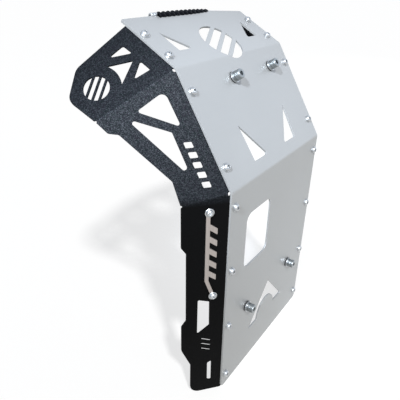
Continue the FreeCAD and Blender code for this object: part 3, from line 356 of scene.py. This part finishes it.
def zinc_plate(name, dark, light):
    """Plated steel of the fasteners, between a dark and a light tone."""
    finish = Finish(name, Metallic=1)
    cloud = finish.noise(finish.place(), scale=90, detail=2)
    dimple = finish.noise(finish.place(), scale=900, detail=2)
    finish.set("Base Color", finish.blend(cloud, dark, light))
    finish.set("Roughness", 0.26 + 0.14 * cloud)
    finish.bump(dimple, strength=0.06, distance=0.0002)
    return finish.material


def brushed_bar():
    """Warm brushed stainless steel of the bar."""
    finish = Finish("brushed_bar_steel", Metallic=1)
    grain = finish.noise(finish.along((1600, 1600, 14)), scale=1, detail=3)
    cloud = finish.noise(finish.place(), scale=60, detail=2)
    finish.set("Base Color", finish.blend(grain, (0.33, 0.29, 0.265), (0.52, 0.475, 0.445)))
    finish.set("Roughness", 0.3 + 0.18 * cloud + 0.1 * grain)
    finish.bump(grain, strength=0.25, distance=0.0002)
    return finish.material


def washer_rubber():
    """Plain black rubber."""
    finish = Finish("washer_rubber", Metallic=0)
    grain = finish.noise(finish.place(), scale=900, detail=3)
    finish.set("Base Color", finish.blend(grain, (0.004, 0.004, 0.005), (0.014, 0.014, 0.016)))
    finish.set("Roughness", 0.6 + 0.2 * grain)
    finish.bump(grain, strength=0.2, distance=0.0003)
    return finish.material


def braided_nylon():
    """Black strands of the edge guard."""
    finish = Finish("braided_nylon", Specular_IOR_Level=0.05)
    grain = finish.noise(finish.along((700, 2500, 2500)), scale=1, detail=2)
    finish.set("Base Color", finish.blend(grain, (0.001, 0.001, 0.002), (0.004, 0.005, 0.007)))
    finish.set("Roughness", 0.32 + 0.25 * grain)
    finish.bump(grain, strength=0.4, distance=0.0003)
    return finish.material


# Meshes

def outward(lean):
    """The way that a facet of the front plate faces."""
    return Vector((0, -math.cos(math.radians(lean)), math.sin(math.radians(lean))))


def merged(name):
    """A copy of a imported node's mesh with its loose triangles joined."""
    form = bmesh.new()
    form.from_mesh(NODES[name].data)
    bmesh.ops.remove_doubles(form, verts=form.verts, dist=WELD_DISTANCE)
    return form


def lofted(rings, segments, hollow=False):
    """A closed form on a row of rings, each a function that gives a point for an angle."""
    form = bmesh.new()
    spot = form.verts.layers.int.new("spot")
    bmesh.ops.create_circle(form, segments=segments, radius=1)
    for number, vert in enumerate(form.verts):
        vert[spot] = number
        vert.co = rings[0](math.tau * number / segments)
    first = edges = list(form.edges)
    for ring in rings[1:]:
        grown = bmesh.ops.extrude_edge_only(form, edges=edges)["geom"]
        verts = {part for part in grown if isinstance(part, bmesh.types.BMVert)}
        edges = [part for part in grown if isinstance(part, bmesh.types.BMEdge)
                 and verts.issuperset(part.verts)]
        for vert in verts:
            vert.co = ring(math.tau * vert[spot] / segments)
    if hollow:
        bmesh.ops.bridge_loops(form, edges=first + edges)
    else:
        bmesh.ops.edgeloop_fill(form, edges=first + edges)
    bmesh.ops.recalc_face_normals(form, faces=form.faces)
    return form


def level(height, reach):
    """A flat ring about Z in millimetres: its reach is a number or a function of the angle."""
    def point(angle):
        radius = reach(angle) if callable(reach) else reach
        return Vector((math.cos(angle) * radius, math.sin(angle) * radius, height)) * MM
    return point


def hexagon(flats):
    """The reach of a hexagon's outline."""
    sector = math.tau / 6
    return lambda angle: flats / 2 / math.cos((angle + sector / 2) % sector - sector / 2)


def threaded(screw, end, steps):
    """Rings of a shank's thread, from its free tip to a height."""
    radius, root, pitch = screw["radius"], screw["root"], screw["pitch"]
    start = THREAD_TIP_RISE - screw["length"]
    count = round((end - start) / pitch * steps)

    def reach_at(height):
        def reach(angle):
            phase = (height / pitch - angle / math.tau) % 1
            wave = THREAD_STEEPNESS * (1 - abs(2 * phase - 1)) - THREAD_CUT
            full = root + (radius - root) * min(1, max(0, wave))
            if height - start < LEAD_LENGTH:
                return min(full, radius - LEAD_DEPTH + (height - start) * LEAD_SLOPE)
            return full
        return reach

    heights = [start + (end - start) * number / count for number in range(count + 1)]
    tip = level(-screw["length"], root - THREAD_TIP_STEP)
    return [tip] + [level(height, reach_at(height)) for height in heights]


def socket_rings(screw):
    """Rings of a hexagon socket that goes down from a flat top."""
    top, flats, foot = screw["height"], screw["flats"], screw["height"] - screw["depth"]
    outline = hexagon(flats)
    corner = flats / math.sqrt(3)
    return [level(top, corner + SOCKET_CHAMFER), level(top - SOCKET_CHAMFER, outline),
            level(foot, outline), level(foot - SOCKET_CONE_DEPTH, flats * SOCKET_CONE_SHARE)]


def cap_bolt():
    """A socket cap bolt with a knurled head, standing on its seat."""
    radius, head, top = BOLT["radius"], BOLT["head"], BOLT["height"]

    def knurled(angle):
        return head - KNURL_DEPTH * (round(angle / math.tau * BOLT_SEGMENTS) % 2)

    thread_end = BOLT_THREAD_LENGTH - BOLT["length"]
    rings = threaded(BOLT, thread_end, BOLT_THREAD_STEPS)
    rings += [level(thread_end + THREAD_RUN_OUT, radius), level(0, radius)]
    rings += [level(rise, head - step) for rise, step in BOLT_FOOT]
    rings += [level(KNURL_FOOT, knurled), level(top - KNURL_TOP_GAP, knurled)]
    rings += [level(top - drop, head - step) for drop, step in BOLT_CROWN]
    return lofted(rings + socket_rings(BOLT), BOLT_SEGMENTS)


def button_screw(screw):
    """A flanged button screw, standing on its seat."""
    radius, head, top = screw["radius"], screw["head"], screw["height"]
    flange, rim = screw["flange"], screw["flange_height"]
    rings = threaded(screw, SCREW_THREAD_END, SCREW_THREAD_STEPS)
    rings += [level(SCREW_SHANK_END, radius), level(0, radius)]
    rings += [level(0, flange - FLANGE_FOOT_STEP), level(FLANGE_FOOT_RISE, flange)]
    rings += [level(rim - FLANGE_TOP_DROP, flange), level(rim, flange - FLANGE_TOP_STEP)]
    rings += [level(rim, head)]
    rings += [level(rim + (top - rim) * rise, head * share) for rise, share in DOME]
    return lofted(rings + socket_rings(screw), SCREW_SEGMENTS)


def hexagon_nut(nut):
    """A chamfered nut hanging below its seat, with a plain bore."""
    flats, height, bore = nut["flats"], nut["height"], nut["bore"]
    outline = hexagon(flats)
    corner = flats / math.sqrt(3) * NUT_CORNER_SHARE
    chamfer = NUT_CHAMFER_SHARE * height
    face = flats / 2 - NUT_FACE_STEP

    def cut(angle):
        return min(outline(angle), corner)

    rings = [level(0, face), level(-chamfer, cut), level(-chamfer - NUT_CHAMFER_STEP, outline),
             level(chamfer - height + NUT_CHAMFER_STEP, outline), level(chamfer - height, cut),
             level(-height, face), level(-height, bore + BORE_CHAMFER),
             level(-height + BORE_CHAMFER, bore), level(-BORE_CHAMFER, bore),
             level(0, bore + BORE_CHAMFER)]
    return lofted(rings, NUT_SEGMENTS, hollow=True)


def islands(name):
    """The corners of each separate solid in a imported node."""
    form = merged(name)
    left = set(form.verts)
    groups = []
    while left:
        group, border = set(), [left.pop()]
        while border:
            vert = border.pop()
            group.add(vert.co.copy().freeze())
            for link in vert.link_edges:
                other = link.other_vert(vert)
                if other in left:
                    left.remove(other)
                    border.append(other)
        groups.append(group)
    form.free()
    return groups


def stations(name, top_height, out=None):
    """Where each solid of a node stands: its frame has its seat at zero and Z pointing out."""
    places = []
    for group in islands(name):
        middle = sum(group, Vector()) / len(group)
        lean = next(lean for reach, lean in FACETS if middle.z < reach)
        up = out or outward(lean)
        turn = up.to_track_quat("Z", "Y").to_matrix()
        local = [turn.transposed() @ corner for corner in group]
        low = [min(corner[axis] for corner in local) for axis in range(3)]
        high = [max(corner[axis] for corner in local) for axis in range(3)]
        seat = Vector(((low[0] + high[0]) / 2, (low[1] + high[1]) / 2,
                       high[2] - top_height * MM))
        places.append(Matrix.Translation(turn @ seat) @ turn.to_4x4())
    return sorted(places, key=lambda place: tuple(round(metres, PLACE_DIGITS)
                                                  for metres in place.translation))


def show(name, form, finish, replaced):
    """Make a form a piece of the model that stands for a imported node."""
    mesh = bpy.data.meshes.new(name)
    form.to_mesh(mesh)
    form.free()
    mesh.polygons.foreach_set("use_smooth", [True] * len(mesh.polygons))
    mesh.set_sharp_from_angle(angle=math.radians(SHARP_ANGLE))
    mesh.materials.append(finish)
    made = bpy.data.objects.new(name, mesh)
    bpy.context.scene.collection.objects.link(made)
    even = made.modifiers.new("even_faces", "WEIGHTED_NORMAL")
    even.keep_sharp = True
    even.weight = LARGE_FACE_WEIGHT
    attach(made, "root")
    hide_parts(replaced)


def add_form(group, form):
    """Put a form's geometry into a larger one and give back its new corners."""
    mesh = bpy.data.meshes.new("part")
    form.to_mesh(mesh)
    before = len(group.verts)
    group.from_mesh(mesh)
    bpy.data.meshes.remove(mesh)
    group.verts.ensure_lookup_table()
    return group.verts[before:]


def fasteners(name, form, finish, node, places):
    """One piece of the same fastener at several places."""
    group = bmesh.new()
    for place in places:
        bmesh.ops.transform(group, matrix=place, verts=add_form(group, form))
    form.free()
    show(name, group, finish, node)


def softened(name, node, finish):
    """A sheet part with its cut edges broken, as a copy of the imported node."""
    form = merged(node)
    bmesh.ops.dissolve_limit(form, angle_limit=math.radians(FLAT_ANGLE), verts=form.verts,
                             edges=form.edges)
    sharp = [edge for edge in form.edges if len(edge.link_faces) == 2
             and edge.calc_face_angle() > math.radians(SHARP_ANGLE)]
    bmesh.ops.bevel(form, geom=sharp, offset=SHEET_EDGE, offset_type="OFFSET", segments=2,
                    profile=0.5, affect="EDGES", clamp_overlap=True, material=-1)
    bmesh.ops.triangulate(form, faces=form.faces)
    bmesh.ops.recalc_face_normals(form, faces=form.faces)
    show(name, form, finish, node)


def guard_plait():
    """Strands plaited along X, thinner toward the right end."""
    lean = math.radians(TOP_LEAN)
    across = Vector((0, math.sin(lean), math.cos(lean)))
    out = outward(TOP_LEAN)

    def strand_ring(strand, share):
        slim = 1 - (1 - GUARD_TIP_SHARE) * share ** GUARD_TAPER_POWER
        turn = math.tau * (GUARD_TURNS * share + strand / GUARD_STRANDS)
        centre = (GUARD_START + Vector((GUARD_LENGTH * share, 0, 0))
                  + across * (math.sin(turn) * GUARD_SWING * slim)
                  + out * (math.sin(2 * turn) * GUARD_LIFT * slim))
        reach = GUARD_STRAND_RADIUS * slim
        return lambda angle: (centre + across * (math.cos(angle) * reach)
                              + out * (math.sin(angle) * reach))

    plait = bmesh.new()
    for strand in range(GUARD_STRANDS):
        rings = [strand_ring(strand, step / GUARD_STEPS) for step in range(GUARD_STEPS + 1)]
        form = lofted(rings, STRAND_SEGMENTS)
        add_form(plait, form)
        form.free()
    return plait


def dress(name, finish):
    """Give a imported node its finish."""
    for slot in NODES[name].material_slots:
        slot.material = finish


# Pieces

aluminium = rolled_aluminium()
coat = powder_coat()
zinc = zinc_plate("zinc_plated_steel", (0.26, 0.285, 0.295), (0.38, 0.40, 0.405))
bright_zinc = zinc_plate("bright_zinc_plated_steel", (0.42, 0.435, 0.44), (0.56, 0.57, 0.575))
bar_steel = brushed_bar()
rubber = washer_rubber()
braid = braided_nylon()

for name in NODES:
    if name.endswith("rubber_washers"):
        dress(name, rubber)
    elif name.endswith("flat_washers") or name == "edge_guard_screw":
        dress(name, bright_zinc)
    else:
        dress(name, zinc)

softened("front_sheet", "front_plate", aluminium)
softened("side_sheet_left", "side_plate_left", coat)
softened("side_sheet_right", "side_plate_right", coat)
softened("bright_bar", "badge_plate", bar_steel)
show("guard_strands", guard_plait(), braid, "edge_guard")

for pair in ("lower", "upper"):
    node = f"{pair}_bolts"
    fasteners(f"{pair}_cap_bolts", cap_bolt(), zinc, node, stations(node, BOLT["height"]))
    node = f"{pair}_nuts"
    fasteners(f"{pair}_hexagon_nuts", hexagon_nut(BOLT_NUT), zinc, node, stations(node, 0))
for side in ("left", "right"):
    node = f"edge_screws_{side}"
    fasteners(f"edge_button_screws_{side}", button_screw(EDGE_SCREW), bright_zinc, node,
              stations(node, EDGE_SCREW["height"]))
    node = f"edge_nuts_{side}"
    fasteners(f"edge_hexagon_nuts_{side}", hexagon_nut(EDGE_NUT), zinc, node, stations(node, 0))

flare = math.radians(SIDE_FLARE)
side_out = Vector((-math.sin(flare), -math.cos(flare), 0))
fasteners("bar_button_screws", button_screw(BAR_SCREW), bright_zinc, "badge_screws",
          stations("badge_screws", BAR_SCREW["height"], side_out))
fasteners("bar_hexagon_nuts", hexagon_nut(BAR_NUT), zinc, "badge_nuts",
          stations("badge_nuts", 0, side_out))


# Floor, sky, lamps and camera

def floor():
    """A wide pale floor, white where it is seen but for the soft shadow on it."""
    material, tree = fresh_material("pale_floor")
    nodes = Nodes(tree)
    seen = nodes.seen()
    shade = nodes.blend(seen, FLOOR_COLOUR, FLOOR_SEEN_COLOUR)
    diffuse = nodes.node("ShaderNodeBsdfDiffuse", None, {"Color": shade})
    glow = nodes.node("ShaderNodeEmission", None, {"Strength": seen * FLOOR_GLOW})
    both = nodes.node("ShaderNodeAddShader", None, {0: diffuse, 1: glow})
    nodes.node("ShaderNodeOutputMaterial", None, {"Surface": both})
    mesh = bpy.data.meshes.new("floor")
    ground = bmesh.new()
    bmesh.ops.create_grid(ground, x_segments=1, y_segments=1, size=FLOOR_REACH)
    bmesh.ops.translate(ground, vec=(0, 0, FLOOR_HEIGHT), verts=ground.verts)
    ground.to_mesh(mesh)
    ground.free()
    mesh.materials.append(material)
    made = bpy.data.objects.new("floor", mesh)
    bpy.context.scene.collection.objects.link(made)


def world():
    """An even pale sky, white where it is seen."""
    sky = bpy.data.worlds.new("sky")
    sky.use_nodes = True
    nodes = Nodes(sky.node_tree)
    shade = nodes.tree.nodes["Background"]
    strength = nodes.range(nodes.seen(), 0, 1, SKY_STRENGTH, SKY_SEEN_STRENGTH)
    nodes.feed(shade.inputs["Strength"], strength)
    nodes.feed(shade.inputs["Color"], colour(SKY_COLOUR))
    bpy.context.scene.world = sky


def stand_lamp(light, spot, way):
    """Stand a lamp at a spot, so that its light comes from the way given."""
    made = bpy.data.objects.new(light.name, light)
    made.location = spot
    made.rotation_mode = "QUATERNION"
    made.rotation_quaternion = Vector(way).to_track_quat("Z", "Y")
    bpy.context.scene.collection.objects.link(made)


def key_lamp():
    """A lamp whose narrow cone lights the upper facets from the left."""
    light = bpy.data.lights.new("key", "SPOT")
    light.spot_size = math.radians(KEY_CONE)
    light.spot_blend = KEY_EDGE_SOFTNESS
    light.shadow_soft_size = KEY_RADIUS
    light.energy = KEY_POWER
    light.color = KEY_COLOUR
    stand_lamp(light, Vector(KEY_AIM) + Vector(KEY_WAY).normalized() * KEY_DISTANCE, KEY_WAY)


def soft_lamp():
    """Even distant light that gives the shadow on the floor."""
    light = bpy.data.lights.new("soft", "SUN")
    light.angle = math.radians(SOFT_ANGLE)
    light.energy = SOFT_STRENGTH
    stand_lamp(light, SOFT_WAY, SOFT_WAY)


def wide_lamp():
    """A weak square lamp on the right that the bright metal reflects."""
    light = bpy.data.lights.new("wide", "AREA")
    light.shape = "SQUARE"
    light.size = WIDE_WIDTH
    light.energy = WIDE_POWER
    light.color = WIDE_COLOUR
    stand_lamp(light, WIDE_PLACE, Vector(WIDE_PLACE) - Vector(WIDE_AIM))


def camera():
    """The photograph's view."""
    view = bpy.data.cameras.new("camera")
    view.sensor_width = CAMERA_SENSOR
    view.lens = CAMERA_LENS
    view.clip_start = CAMERA_NEAREST
    turn = Matrix((CAMERA_RIGHT, -CAMERA_DOWN, -CAMERA_FORWARD)).transposed()
    made = bpy.data.objects.new("camera", view)
    made.matrix_world = Matrix.Translation(CAMERA_PLACE) @ turn.to_4x4()
    bpy.context.scene.collection.objects.link(made)
    bpy.context.scene.camera = made


floor()
world()
key_lamp()
soft_lamp()
wide_lamp()
camera()
bpy.context.scene.view_settings.view_transform = "Standard"
